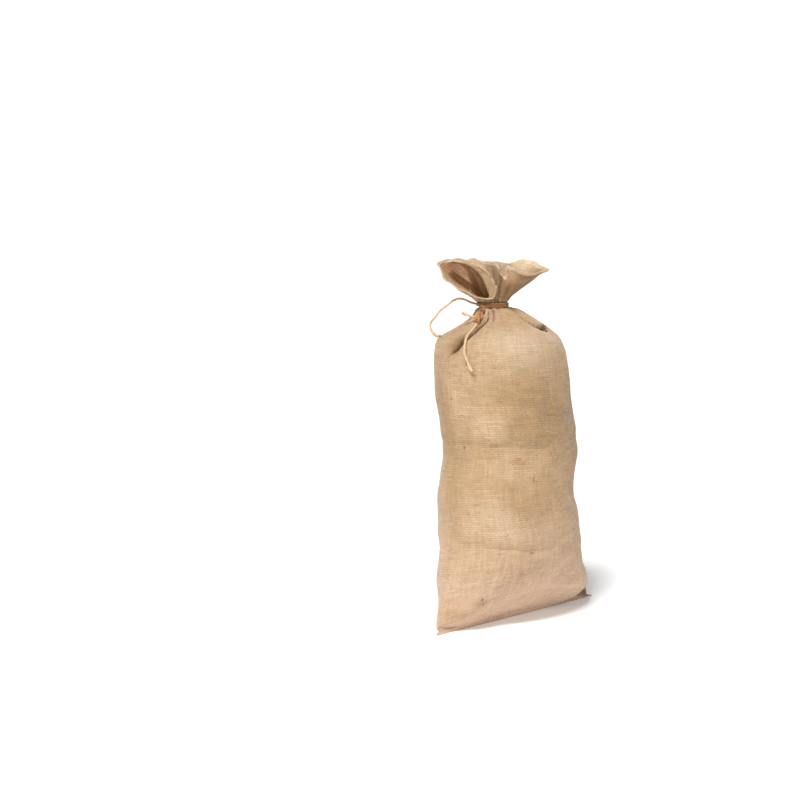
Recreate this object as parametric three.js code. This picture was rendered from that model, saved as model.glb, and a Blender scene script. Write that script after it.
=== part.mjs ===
// A filled hessian sack, tied at the neck with jute twine. Millimetres, +Z up.
// X runs along the bottom seam, the front panel faces -Y, and the origin is on the surface that the sack
// stands on, under the middle of its box.
import * as THREE from "three";
import { mergeVertices } from "three/addons/utils/BufferGeometryUtils.js";

// Driving sizes
const FLAT_WIDTH = 360; // the empty sack lying flat
const COLUMNS = 92; // round the cloth, an even number: half are the back panel, half the front
const CLOTH = 2.6; // wall above the tie, cloth with its soft pleats
const NECK_FOOT = 497; // the waist that the tie grips
const NECK_TOP = 504.5;
const NECK_RADIUS = 21.8;
const TWINE = 3.4;
const GAP = 0.35; // between pieces that touch

// Sections of the filled body, from the bottom seam up to the tie. front and back are the heights of a section
// at its front and back, x and y its middle, halfWidth and halfDepth its size, lens 1 for an oval and 2 for two
// flat arcs that meet at the side edges, twist its turn in degrees, steps the rows of faces up to the next
// section. The rows at 130 and 285 are the creases that the packed sack was folded along.
const SECTIONS = [
  { front: 0, back: 0, x: 0, y: -9, halfWidth: FLAT_WIDTH / 2, halfDepth: 1.6, lens: 2, twist: 0, steps: 1 },
  { front: 8, back: -4, x: 0, y: -7, halfWidth: 179, halfDepth: 10, lens: 2, twist: 0, steps: 2 },
  { front: 17, back: -9, x: -1, y: -5, halfWidth: 171, halfDepth: 22, lens: 1.9, twist: 0, steps: 2 },
  { front: 31, back: -11, x: -2, y: -3, halfWidth: 173, halfDepth: 37, lens: 1.7, twist: 0, steps: 2 },
  { front: 54, back: 4, x: -2, y: 0, halfWidth: 166, halfDepth: 60, lens: 1.4, twist: 0, steps: 2 },
  { front: 80, back: 34, x: -2, y: 3, halfWidth: 151, halfDepth: 79, lens: 1.2, twist: 0, steps: 2 },
  { front: 108, back: 70, x: -2, y: 7, halfWidth: 136, halfDepth: 94, lens: 1.1, twist: 0, steps: 2 },
  { front: 130, back: 102, x: -2, y: 9.5, halfWidth: 126, halfDepth: 99.5, lens: 1, twist: 0, steps: 2 },
  { front: 143, back: 120, x: -3, y: 11, halfWidth: 123, halfDepth: 103, lens: 1, twist: 0, steps: 2 },
  { front: 180, back: 162, x: -6, y: 12.5, halfWidth: 117, halfDepth: 104, lens: 1, twist: -2, steps: 2 },
  { front: 215, back: 200, x: -8, y: 16, halfWidth: 115, halfDepth: 102, lens: 1, twist: -4, steps: 2 },
  { front: 262, back: 250, x: -1, y: 13, halfWidth: 112, halfDepth: 100, lens: 1, twist: -6, steps: 2 },
  { front: 285, back: 275, x: -3, y: 13, halfWidth: 110.5, halfDepth: 99.5, lens: 1, twist: -7, steps: 2 },
  { front: 312, back: 304, x: -5, y: 14, halfWidth: 112, halfDepth: 101, lens: 1, twist: -8, steps: 3 },
  { front: 366, back: 362, x: -10, y: 21, halfWidth: 111, halfDepth: 99, lens: 1, twist: -10, steps: 2 },
  { front: 408, back: 406, x: -11.5, y: 24, halfWidth: 111, halfDepth: 97.5, lens: 1, twist: -10, steps: 1 },
  { front: 428, back: 427, x: -12.3, y: 25, halfWidth: 109.5, halfDepth: 96, lens: 1, twist: -10, steps: 2 },
  { front: 447, back: 447, x: -13, y: 27, halfWidth: 102, halfDepth: 91, lens: 1, twist: -10, steps: 2 },
  { front: 460, back: 460, x: -11.5, y: 24, halfWidth: 84, halfDepth: 76, lens: 1, twist: -10, steps: 2 },
  { front: 471, back: 471, x: -11, y: 23, halfWidth: 66, halfDepth: 60, lens: 1, twist: -10, steps: 1 },
  { front: 479, back: 479, x: -11, y: 24, halfWidth: 54, halfDepth: 50.5, lens: 1, twist: -10, steps: 1 },
  { front: 488, back: 488, x: -13, y: 27.5, halfWidth: 41.5, halfDepth: 39.5, lens: 1, twist: -10, steps: 1 },
  { front: 494, back: 494, x: -15.5, y: 33, halfWidth: 30, halfDepth: 29.5, lens: 1, twist: -10, steps: 1 },
  {
    front: NECK_FOOT, back: NECK_FOOT, x: -18, y: 38,
    halfWidth: NECK_RADIUS, halfDepth: NECK_RADIUS, lens: 1, twist: -10, steps: 1,
  },
  {
    front: NECK_TOP, back: NECK_TOP, x: -18, y: 38,
    halfWidth: NECK_RADIUS, halfDepth: NECK_RADIUS, lens: 1, twist: -10, steps: 1,
  },
];

// Places where the front panel bulges: x and height of the middle, half length and half height, how far out.
const BULGES = [
  { x: 102, height: 42, halfLength: 46, halfHeight: 24, out: 11 },
  { x: 20, height: 152, halfLength: 75, halfHeight: 17, out: 3 },
  { x: -128, height: 34, halfLength: 26, halfHeight: 20, out: 7 },
];

// Folds that the tie draws into the shoulder. towards is their direction from the neck, swing how far they turn
// on the way down, both in degrees, reach how far below the tie they run, spread their width in degrees.
const TUCKS = [
  { towards: -160, swing: -20, depth: 8, reach: 88, spread: 7 },
  { towards: -134, swing: 2, depth: 4, reach: 26, spread: 8 },
  { towards: -112, swing: 4, depth: 3, reach: 40, spread: 8 },
  { towards: -78, swing: 4, depth: 11, reach: 54, spread: 11 },
  { towards: -50, swing: 4, depth: 3, reach: 50, spread: 9 },
  { towards: -22, swing: 4, depth: 5, reach: 60, spread: 9 },
  { towards: 6, swing: 4, depth: 4, reach: 48, spread: 9 },
  { towards: 34, swing: -4, depth: 6, reach: 70, spread: 9 },
  { towards: 62, swing: 4, depth: 4, reach: 50, spread: 9 },
  { towards: 90, swing: -3, depth: 6, reach: 66, spread: 9 },
  { towards: 118, swing: 4, depth: 4, reach: 46, spread: 9 },
  { towards: 146, swing: -4, depth: 5, reach: 58, spread: 9 },
  { towards: 172, swing: 3, depth: 4, reach: 44, spread: 8 },
];

// The mouth's edge above the tie, all the way round. turn is the direction from the neck in degrees, counted
// from the right tip, reach the distance from the neck's axis, up the height above the tie.
const MOUTH_TURN = -46;
const MOUTH = [
  { turn: 0, reach: 89, up: 51.5 },
  { turn: 10, reach: 77, up: 56.5 },
  { turn: 21, reach: 68, up: 63.5 },
  { turn: 28, reach: 57, up: 65.5 },
  { turn: 39, reach: 48, up: 63.5 },
  { turn: 50, reach: 33, up: 59.5 },
  { turn: 75, reach: 36, up: 63.5 },
  { turn: 98, reach: 40, up: 64.5 },
  { turn: 118, reach: 35, up: 62.5 },
  { turn: 131, reach: 48, up: 63.5 },
  { turn: 140, reach: 60, up: 67.5 },
  { turn: 151, reach: 66, up: 67.5 },
  { turn: 165, reach: 73, up: 66.5 },
  { turn: 180, reach: 87, up: 58.5 },
  { turn: 189, reach: 81, up: 42.5 },
  { turn: 201, reach: 75, up: 31.5 },
  { turn: 213, reach: 64, up: 23.5 },
  { turn: 224, reach: 52, up: 18.5 },
  { turn: 236, reach: 39, up: 16.5 },
  { turn: 248, reach: 31, up: 20.5 },
  { turn: 258, reach: 30, up: 36.5 },
  { turn: 266, reach: 38, up: 55.5 },
  { turn: 278, reach: 42, up: 59.5 },
  { turn: 293, reach: 40, up: 56.5 },
  { turn: 308, reach: 47, up: 53.5 },
  { turn: 323, reach: 56, up: 47.5 },
  { turn: 338, reach: 65, up: 45.5 },
  { turn: 350, reach: 77, up: 47.5 },
];

// The tie: two turns of twine round the waist, each end of which runs down to the knot on the left shoulder.
// angle in degrees round the neck's axis, reach from it, and height.
const TURN_RADIUS = NECK_RADIUS + GAP + TWINE / 2 + 0.3;
const TURN_PITCH = TWINE + GAP;
const LOWER_TURN = 499;
const STRAND_IN = [
  { angle: -164.5, reach: 45, height: 490.6 },
  { angle: -164, reach: 36.5, height: 494.6 },
  { angle: -161, reach: 29.5, height: 497.8 },
];
const STRAND_OUT = [
  { angle: 520, reach: 25.6, height: 502.7 },
  { angle: 536, reach: 28.6, height: 502.3 },
  { angle: 550, reach: 30.8, height: 501.2 },
  { angle: 560, reach: 34.5, height: 498.8 },
  { angle: 564.5, reach: 39.2, height: 495.4 },
  { angle: 565, reach: 44.6, height: 491.8 },
];

// The knot: a lump longer than wide, its length down the slope of the shoulder.
const KNOT = {
  middle: [-68.5, 18, 482.8], down: [-0.667, -0.37, -0.65], out: [-0.6, 0, 0.8],
  halfLength: 12, halfWidth: 6.6, halfThickness: 5.6,
};

// Middle lines of the free lengths, before the sack is centred. The short end sticks out of the knot, the
// hanging end lies down the shoulder below it, and the long end leaves the turns at the left, arches over the
// left shoulder and comes down on its edge.
const SHORT_END = [[-71, 24.9, 483.7], [-74.2, 30.2, 485.2], [-77.4, 34.8, 487], [-80.4, 39.4, 488.6]];
const HANGING_END = [
  [-76.8, 13.9, 474.2], [-82.4, 12.8, 469], [-87.8, 12.4, 465], [-93.2, 11.4, 461.6], [-99.2, 10, 458.2],
  [-105.8, 6.8, 453.6], [-111.4, 3.2, 447.2], [-115.2, 0.6, 440.4], [-117.3, -1.4, 433], [-117.6, -4.2, 426.4],
  [-117, -7, 420], [-116.2, -9.8, 414], [-115.2, -12.4, 409], [-114, -14.9, 404.4],
];
const LONG_END = [
  [-31.7, 61.4, 501.3], [-35.6, 62.7, 502.2], [-41, 65, 504], [-47, 68.8, 507.4], [-51.4, 72, 509.2],
  [-56.1, 75.4, 509.8],
  [-60.8, 78.2, 508.6], [-65.3, 80.5, 506.2], [-70, 82.4, 502.8], [-74.5, 84.2, 499.2], [-79.4, 86.4, 495.8],
  [-84.1, 88.5, 492], [-88.2, 90, 487.4], [-91.8, 91.2, 482.4], [-95.8, 92.8, 478], [-99.4, 94, 473.8],
  [-101.4, 93.8, 467.6], [-100.9, 91.8, 461], [-98.8, 89, 455.6], [-95.4, 85.6, 452], [-92.2, 82.2, 451.8],
];

const degrees = THREE.MathUtils.degToRad;

/** Catmull-Rom between b and c. */
function between(a, b, c, d, share) {
  const bend = 2 * a - 5 * b + 4 * c - d;
  const rise = -a + 3 * b - 3 * c + d;
  return b + 0.5 * share * (c - a + share * (bend + share * rise));
}

/** The section `share` of the way from table row `row` to the next, every column drawn smoothly. */
function sectionBetween(row, share) {
  const at = (k) => SECTIONS[THREE.MathUtils.clamp(k, 0, SECTIONS.length - 1)];
  const section = {};
  for (const name of Object.keys(SECTIONS[0])) {
    section[name] = between(at(row - 1)[name], at(row)[name], at(row + 1)[name], at(row + 2)[name], share);
  }
  return section;
}

/** Points spaced evenly along a line of points, leaving out the last. */
function evenly(line, count) {
  const along = [0];
  for (let k = 1; k < line.length; k++) along.push(along[k - 1] + line[k].distanceTo(line[k - 1]));
  const points = [];
  let k = 1;
  for (let n = 0; n < count; n++) {
    const want = (along[line.length - 1] * n) / count;
    while (along[k] < want) k++;
    points.push(line[k - 1].clone().lerp(line[k], (want - along[k - 1]) / (along[k] - along[k - 1])));
  }
  return points;
}

/** How far the shoulder's tucks draw the cloth in, at a direction and height. */
function tuckDepth(direction, height) {
  const below = NECK_FOOT - height;
  let depth = 0;
  for (const tuck of TUCKS) {
    const share = below / tuck.reach;
    if (share > 1 || share < 0) continue;
    const off = direction - tuck.towards - tuck.swing * share;
    const away = Math.abs(THREE.MathUtils.euclideanModulo(off + 180, 360) - 180) / tuck.spread;
    depth += tuck.depth * Math.exp(-away * away) * Math.sin(Math.PI * Math.sqrt(share)) ** 2 * (1.2 - share);
  }
  return depth;
}

/** How far the front panel bulges at a place. */
function bulgeOut(x, height) {
  let out = 0;
  for (const bulge of BULGES) {
    const along = (x - bulge.x) / bulge.halfLength;
    const up = (height - bulge.height) / bulge.halfHeight;
    out += bulge.out * Math.exp(-along * along - up * up);
  }
  return out;
}

/** One ring of the body's cloth: half its points are the back panel from +X to -X, half the front panel. */
function bodyRing(section) {
  const outline = (from, to) => {
    const line = [];
    for (let k = 0; k <= 120; k++) {
      const angle = from + ((to - from) * k) / 120;
      const sine = Math.sin(angle);
      const depth = Math.sign(sine) * Math.abs(sine) ** Math.max(section.lens, 1);
      line.push(new THREE.Vector3(section.halfWidth * Math.cos(angle), section.halfDepth * depth, 0));
    }
    return line;
  };
  const half = COLUMNS / 2;
  const ring = [...evenly(outline(0, Math.PI), half), ...evenly(outline(Math.PI, 2 * Math.PI), half)];
  return ring.map((flat) => {
    const toBack = (flat.y / section.halfDepth + 1) / 2;
    const height = section.front + (section.back - section.front) * toBack;
    const turned = flat.clone().applyAxisAngle(new THREE.Vector3(0, 0, 1), degrees(section.twist));
    const direction = THREE.MathUtils.radToDeg(Math.atan2(turned.y, turned.x));
    const drawnIn = tuckDepth(direction, height);
    const kept = 1 - drawnIn / Math.max(turned.length(), 2 * drawnIn + 1);
    const x = section.x + turned.x * kept;
    const forward = flat.y < 0 ? bulgeOut(x, height) * Math.min(-flat.y / 12, 1) : 0;
    return new THREE.Vector3(x, section.y + turned.y * kept - forward, Math.max(height, 0));
  });
}

/** The mouth's edge as COLUMNS points, starting in the direction of the first column of the neck. */
function mouthEdge(neck) {
  const knots = MOUTH.map(({ turn, reach, up }) => {
    const angle = degrees(MOUTH_TURN + turn);
    const [x, y] = [neck.x + reach * Math.cos(angle), neck.y + reach * Math.sin(angle)];
    return new THREE.Vector3(x, y, NECK_TOP + up);
  });
  const curve = new THREE.CatmullRomCurve3(knots, true, "centripetal");
  const points = evenly(curve.getPoints(900), COLUMNS);
  const firstDirection = neck.twist - MOUTH_TURN; // of column 0, counted from the right tip
  const ahead = Math.round((firstDirection / 360) * COLUMNS);
  return points.map((_, k) => points[(k + ahead + COLUMNS) % COLUMNS]);
}

/** Rings of the ruffle from just above the tie to the mouth's edge. */
function ruffleRings(neckRing, edge, levels) {
  const rings = [];
  for (const level of levels) {
    rings.push(edge.map((tip, k) => {
      const root = neckRing[k];
      const middle = root.clone().lerp(tip, 0.5).add(new THREE.Vector3(0, 0, 0.06 * root.distanceTo(tip)));
      return new THREE.QuadraticBezierCurve3(root, middle, tip).getPoint(level);
    }));
  }
  return rings;
}

/** Rings moved inwards by the cloth's thickness, square to the wall. */
function innerRings(outer, thickness) {
  return outer.map((ring, r) => ring.map((point, k) => {
    const along = ring[(k + 1) % COLUMNS].clone().sub(ring[(k + COLUMNS - 1) % COLUMNS]);
    const below = outer[Math.max(r - 1, 0)][k];
    const above = outer[Math.min(r + 1, outer.length - 1)][k];
    const outward = along.cross(above.clone().sub(below)).normalize();
    return point.clone().addScaledVector(outward, -thickness);
  }));
}

/** A closed surface through rings of equal length, from the bottom seam to a last point in the throat. */
function closedSkin(rings, lastPoint) {
  const positions = rings.flat().flatMap((p) => [p.x, p.y, p.z]);
  positions.push(lastPoint.x, lastPoint.y, lastPoint.z);
  const faces = [];
  for (let r = 0; r + 1 < rings.length; r++) {
    for (let k = 0; k < COLUMNS; k++) {
      const a = r * COLUMNS + k;
      const b = r * COLUMNS + ((k + 1) % COLUMNS);
      faces.push(a, b, b + COLUMNS, a, b + COLUMNS, a + COLUMNS);
    }
  }
  // The bottom seam: back and front panel meet, column k of one over column -k of the other.
  for (let k = 0; k < COLUMNS / 2; k++) {
    const [a, b] = [k, k + 1];
    const [c, d] = [(COLUMNS - k) % COLUMNS, COLUMNS - k - 1];
    if (a !== c) faces.push(a, c, b);
    if (b !== d) faces.push(c, d, b);
  }
  const top = (rings.length - 1) * COLUMNS;
  for (let k = 0; k < COLUMNS; k++) faces.push(top + k, top + ((k + 1) % COLUMNS), rings.length * COLUMNS);
  const geometry = new THREE.BufferGeometry();
  geometry.setAttribute("position", new THREE.Float32BufferAttribute(positions, 3));
  geometry.setIndex(faces);
  return geometry;
}

function sackGeometry() {
  const rings = [];
  for (let row = 0; row + 1 < SECTIONS.length; row++) {
    const { steps } = SECTIONS[row];
    for (let step = 0; step < steps; step++) rings.push(bodyRing(sectionBetween(row, step / steps)));
  }
  const neck = SECTIONS[SECTIONS.length - 1];
  const neckRing = bodyRing(neck);
  rings.push(neckRing);
  const levels = [0.12, 0.24, 0.37, 0.5, 0.63, 0.76, 0.88, 1];
  const outer = ruffleRings(neckRing, mouthEdge(neck), levels);
  const inner = innerRings(outer, CLOTH).slice(1).reverse();
  const throat = new THREE.Vector3(neck.x, neck.y, NECK_TOP + 6);
  return closedSkin([...rings, ...outer, ...inner], throat);
}

/** Twine along a line of points, with flat ends. */
function twineGeometry(points, steps) {
  const sides = 8;
  const around = [];
  for (let k = 0; k < sides; k++) {
    const angle = (2 * Math.PI * k) / sides;
    around.push(new THREE.Vector2(Math.cos(angle), Math.sin(angle)).multiplyScalar(TWINE / 2));
  }
  const places = points.map((place) => new THREE.Vector3(...place));
  const extrudePath = new THREE.CatmullRomCurve3(places, false, "centripetal");
  const solid = new THREE.ExtrudeGeometry(new THREE.Shape(around), { steps, extrudePath });
  solid.deleteAttribute("normal");
  solid.deleteAttribute("uv");
  return mergeVertices(solid, 1e-3);
}

function wrapGeometry(neck) {
  const turns = [];
  const [start, end, step] = [-150, 510, 12];
  for (let angle = start; angle <= end; angle += step) {
    const climb = THREE.MathUtils.smoothstep(angle, 100, 200);
    turns.push({ angle, reach: TURN_RADIUS, height: LOWER_TURN + TURN_PITCH * climb });
  }
  const points = [...STRAND_IN, ...turns, ...STRAND_OUT].map(({ angle, reach, height }) => {
    const direction = degrees(angle);
    return [neck.x + reach * Math.cos(direction), neck.y + reach * Math.sin(direction), height];
  });
  return twineGeometry(points, 96);
}

function knotGeometry() {
  const lump = new THREE.IcosahedronGeometry(1, 4);
  lump.deleteAttribute("normal");
  lump.deleteAttribute("uv");
  const places = lump.attributes.position;
  for (let k = 0; k < places.count; k++) {
    const p = new THREE.Vector3().fromBufferAttribute(places, k);
    const round = Math.atan2(p.z, p.y);
    const strands = 1 + 0.1 * Math.cos(2 * round + 5 * p.x) * (1 - p.x * p.x); // crossed strands
    p.multiply(new THREE.Vector3(KNOT.halfLength, KNOT.halfWidth * strands, KNOT.halfThickness * strands));
    places.setXYZ(k, p.x, p.y, p.z);
  }
  const down = new THREE.Vector3(...KNOT.down).normalize();
  const side = new THREE.Vector3(...KNOT.out).cross(down).normalize();
  const out = down.clone().cross(side);
  const placed = new THREE.Matrix4().makeBasis(down, side, out).setPosition(...KNOT.middle);
  return mergeVertices(lump.applyMatrix4(placed), 1e-3);
}

const hessian = new THREE.MeshStandardMaterial({ color: 0xc9a67c, roughness: 0.95, metalness: 0 });
const jute = new THREE.MeshStandardMaterial({ color: 0xdcb98a, roughness: 0.9, metalness: 0 });

const sack = new THREE.Group();

function addPiece(name, geometry, material) {
  const piece = new THREE.Mesh(geometry, material);
  piece.name = name;
  sack.add(piece);
  return piece;
}

const cloth = addPiece("sack", sackGeometry(), hessian);
addPiece("tie_wrap", wrapGeometry(SECTIONS[SECTIONS.length - 1]), jute);
addPiece("tie_knot", knotGeometry(), jute);
addPiece("tie_short_end", twineGeometry(SHORT_END, 6), jute);
addPiece("tie_hanging_end", twineGeometry(HANGING_END, 20), jute);
addPiece("tie_long_end", twineGeometry(LONG_END, 28), jute);

// The origin is on the floor, under the middle of the cloth's box.
const box = new THREE.Box3().setFromObject(cloth);
const middle = box.getCenter(new THREE.Vector3());
sack.position.set(-middle.x, -middle.y, -box.min.z);

export default sack;
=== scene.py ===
"""A hessian sack, filled, gathered at the neck and tied with jute twine, standing on its bottom seam.

The sections follow the object as it is put together: the cloth, the turns of the tie, its knot, its three
free ends and the loose fibres. The setting, with the camera and the light, comes last. Sizes are in
millimetres, with X along the bottom seam and the front panel facing -Y, and become metres in each mesh.
"""
import math

import bpy
import numpy as np
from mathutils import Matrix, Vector


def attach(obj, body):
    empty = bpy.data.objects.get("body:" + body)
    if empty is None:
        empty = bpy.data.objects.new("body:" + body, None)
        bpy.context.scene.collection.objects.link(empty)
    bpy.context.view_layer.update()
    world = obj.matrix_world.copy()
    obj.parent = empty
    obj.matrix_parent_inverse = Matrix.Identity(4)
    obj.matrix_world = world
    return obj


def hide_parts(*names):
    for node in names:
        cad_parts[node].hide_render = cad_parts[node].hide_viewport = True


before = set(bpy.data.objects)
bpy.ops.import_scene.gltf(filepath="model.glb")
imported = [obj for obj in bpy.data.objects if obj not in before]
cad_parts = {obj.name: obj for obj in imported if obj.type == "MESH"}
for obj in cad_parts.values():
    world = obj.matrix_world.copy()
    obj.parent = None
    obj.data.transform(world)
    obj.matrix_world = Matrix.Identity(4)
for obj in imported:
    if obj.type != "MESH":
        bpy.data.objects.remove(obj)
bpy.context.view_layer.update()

# ---------------------------------------------------------------------------------------------------------
# The sack. One length of plain woven jute, folded and sewn to a bag 360 mm wide lying flat, filled until it
# stands, gathered at the neck and tied. Above the tie the open mouth flares into a ruffle with a cut edge.
# ---------------------------------------------------------------------------------------------------------
MM = 0.001
MIDDLE = np.array([0, 13.785, 0])  # the middle of the standing sack's box, from the middle of its seam
FLAT_WIDTH = 360
COLUMNS = 360  # one column of faces every 2 mm round the cloth
ROW = 3.2  # height of a row of faces
CLOTH = 1.8  # thickness at the mouth, with the edge's own roll
NECK_FOOT, NECK_TOP = 497, 504.5  # the stretch that the tie draws in
NECK_RADIUS = 21.8
rng = np.random.default_rng(11)

# The filled body, from the seam to the tie. front and back are the heights of a section there, x and y its
# middle, lens 1 for an oval and 2 for two flat arcs that meet at the side edges, twist its turn in degrees.
SECTION = ("front", "back", "x", "y", "half_width", "half_depth", "lens", "twist")
SECTIONS = np.array([
    (0, 0, 0, -9, FLAT_WIDTH / 2, 1.6, 2, 0),
    (8, -4, 0, -7, 179, 10, 2, 0),
    (17, -9, -1, -5, 171, 22, 1.9, 0),
    (31, -11, -2, -3, 173, 37, 1.7, 0),
    (54, 4, -2, 0, 166, 60, 1.4, 0),
    (80, 34, -2, 3, 151, 79, 1.2, 0),
    (108, 70, -2, 7, 136, 94, 1.1, 0),
    (130, 102, -2, 9.5, 126, 99.5, 1, 0),  # the lower packing crease
    (143, 120, -3, 11, 123, 103, 1, 0),
    (180, 162, -6, 12.5, 117, 104, 1, -2),
    (215, 200, -8, 16, 115, 102, 1, -4),
    (262, 250, -1, 13, 112, 100, 1, -6),
    (285, 275, -3, 13, 110.5, 99.5, 1, -7),  # the upper packing crease
    (312, 304, -5, 14, 112, 101, 1, -8),
    (366, 362, -10, 21, 111, 99, 1, -10),
    (408, 406, -11.5, 24, 111, 97.5, 1, -10),
    (428, 427, -12.3, 25, 109.5, 96, 1, -10),
    (447, 447, -13, 27, 102, 91, 1, -10),
    (460, 460, -11.5, 24, 84, 76, 1, -10),
    (471, 471, -11, 23, 66, 60, 1, -10),
    (479, 479, -11, 24, 54, 50.5, 1, -10),
    (488, 488, -13, 27.5, 41.5, 39.5, 1, -10),
    (494, 494, -15.5, 33, 30, 29.5, 1, -10),
    (NECK_FOOT, NECK_FOOT, -18, 38, NECK_RADIUS, NECK_RADIUS, 1, -10),
    (NECK_TOP, NECK_TOP, -18, 38, NECK_RADIUS, NECK_RADIUS, 1, -10),
])
NECK = np.array([-18.0, 38.0, NECK_TOP])

# Bulges of the front panel: x and height of the middle, half length, half height, how far out.
BULGES = [(102, 42, 46, 24, 11), (20, 152, 75, 17, 3), (-128, 34, 26, 20, 7)]

# Folds that the tie draws into the shoulder: direction from the neck and its change on the way down, depth,
# reach below the tie and width in degrees.
TUCKS = [
    (-160, -20, 8, 88, 7), (-134, 2, 4, 26, 8), (-112, 4, 3, 40, 8), (-78, 4, 11, 54, 11), (-50, 4, 3, 50, 9),
    (-22, 4, 5, 60, 9), (6, 4, 4, 48, 9), (34, -4, 6, 70, 9), (62, 4, 4, 50, 9), (90, -3, 6, 66, 9),
    (118, 4, 4, 46, 9), (146, -4, 5, 58, 9), (172, 3, 4, 44, 8),
]

# The mouth's edge, from the right tip round the back: across to the right of the neck's axis, forward of it,
# up from the tie, direction of that stretch at the neck (from the right tip), how far the cloth bellies
# across, forward and up half way, and how much the edge waves. The front panel leans to the left over the low
# front edge of the left lobe, like a hood.
MOUTH_TURN = -46
MOUTH = np.array([
    (89, 0, 51.5, 0, 0, 0, 0, 0.6), (77, -16, 56.5, 12, 0, 4, -4, 1.4), (64, -29, 63.5, 25, -2, 8, -8, 2),
    (50, -35, 66, 36, -2, 10, -8, 2), (37, -37, 63.5, 50, 0, 8, -6, 3), (21, -31, 60, 66, 0, 4, -2, 4),
    (9, -36, 62.5, 80, 0, -4, 0, 4), (-6, -40, 63, 92, 0, -10, 0, 4), (-20, -34, 64, 102, 0, -18, 4, 2),
    (-33, -10, 62, 110, 3, 18, 4, 0.6), (-40, -11, 63, 115, 0, 16, 4, 0.4),
    (-45, -25, 66, 122, -2, -20, 10, 0.8), (-54, -27, 67.5, 132, -8, -30, 14, 1),
    (-65, -20, 67.5, 145, -12, -30, 14, 1), (-74, -10, 67, 158, -14, -20, 8, 0.8),
    (-88, 2, 60, 170, -12, -8, 0, 0.6), (-86, 10, 52, 178, -10, -2, -3, 0.6),
    (-80, 15, 42.5, 186, -6, 2, -6, 0.7), (-70, 27, 31.5, 198, -4, 2, -5, 1),
    (-54, 35, 23.5, 210, -2, 3, -4, 1), (-37, 36, 16, 222, 0, 3, -3, 0.7), (-20, 34, 8, 232, 0, 2, -2, 0.3),
    (-6, 30, 5, 241, 0, 2, 0, 0.1), (3, 29, 9, 247, 0, 2, 0, 0), (6, 33, 22, 251, 6, 5, 4, 0.2),
    (0, 35, 38, 254, 10, 6, 10, 0.3), (-10, 34, 50, 257, 13, 7, 16, 0.4),
    (-22, 31, 58, 259.5, 17, 8, 20, 0.6), (-37, 26, 63.5, 262, 20, 10, 26, 0.6),
    (-56, 19, 66, 264, 25, 14, 32, 0.6), (-74, 10, 64.5, 266, 24, 16, 36, 0.5),
    (-67, 1, 67, 268, 21, 13, 32, 0.8), (-48, -4, 68, 270, 18, 11, 26, 1.2),
    (-30, -5, 66.5, 272, 11, 8, 16, 1.8), (-14, 3, 65, 275, 3, 8, 0, 2), (-2, 14, 63, 279, 0, 4, 0, 1.4),
    (6, 27, 62, 283, 0, 2, 0, 0.6), (12, 37, 52, 286, 0, 10, 26, 0.2), (21, 44, 37, 289, -3, 12, 54, 0.1),
    (22, 40, 50, 292, -1, 8, 30, 0.3), (24, 37, 58, 298, 0, 2, 0, 1), (34, 37, 54, 308, 0, 2, 0, 1.6),
    (46, 34, 49, 320, 0, 4, 0, 1.8), (60, 25, 46.5, 334, 0, 4, 0, 1.6), (76, 14, 48, 348, 0, 2, 0, 1),
])

# Folds of the ruffle: how far round the edge from the right tip, depth inwards, and half width there.
RUFFLE_FOLDS = [
    (14, 3, 4), (34, 4, 5), (58, -3, 5), (80, 4, 5), (98, -3, 4), (116, 5, 5), (136, -4, 4), (158, 3, 4),
    (196, -2.4, 5), (222, 2.6, 6), (250, -2, 6), (276, 2, 5), (306, -1.6, 6), (330, 1.4, 5), (352, 2, 4),
    (470, 2.2, 6), (498, -3, 5), (520, 4.4, 5), (536, -4, 4), (566, 4.5, 5), (582, -3.5, 4), (600, 5, 5),
    (614, -4, 4), (628, 4, 4), (642, -2.4, 5), (656, 2.8, 5), (670, -2, 5),
]


def between(a, b, c, d, share):
    """Catmull-Rom between b and c."""
    bend = 2 * a - 5 * b + 4 * c - d
    rise = -a + 3 * b - 3 * c + d
    return b + 0.5 * share * (c - a + share * (bend + share * rise))


def along(line):
    """How far along a line of points each point lies."""
    return np.concatenate([[0], np.cumsum(np.linalg.norm(np.diff(line, axis=0), axis=1))])


def evenly(line, places):
    """Points at those distances along a line of points."""
    far = along(line)
    return np.stack([np.interp(places, far, line[:, k]) for k in range(line.shape[1])], axis=1)


def smooth_line(points, step, closed=False):
    """A centripetal Catmull-Rom line through points, with a point about every step."""
    points = np.asarray(points, float)
    if closed:
        padded = np.concatenate([points[-1:], points, points[:2]])
    else:
        padded = np.concatenate([[2 * points[0] - points[1]], points, [2 * points[-1] - points[-2]]])
    line = []
    for a, b, c, d in zip(padded[:-3], padded[1:-2], padded[2:-1], padded[3:]):
        spans = [np.linalg.norm(q - p) ** 0.5 for p, q in ((a, b), (b, c), (c, d))]
        knots = np.concatenate([[0], np.cumsum(spans)])
        count = max(2, int(np.linalg.norm(c - b) / step) + 1)
        for t in np.linspace(knots[1], knots[2], count, endpoint=False):
            low, high = (a, b, c), (b, c, d)
            first = [((knots[i + 1] - t) * p + (t - knots[i]) * q) / (knots[i + 1] - knots[i])
                     for i, (p, q) in enumerate(zip(low, high))]
            second = [((knots[i + 2] - t) * first[i] + (t - knots[i]) * first[i + 1])
                      / (knots[i + 2] - knots[i]) for i in range(2)]
            line.append(((knots[2] - t) * second[0] + (t - knots[1]) * second[1]) / (knots[2] - knots[1]))
    line.append(points[0] if closed else points[-1])
    return np.array(line)


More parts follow.
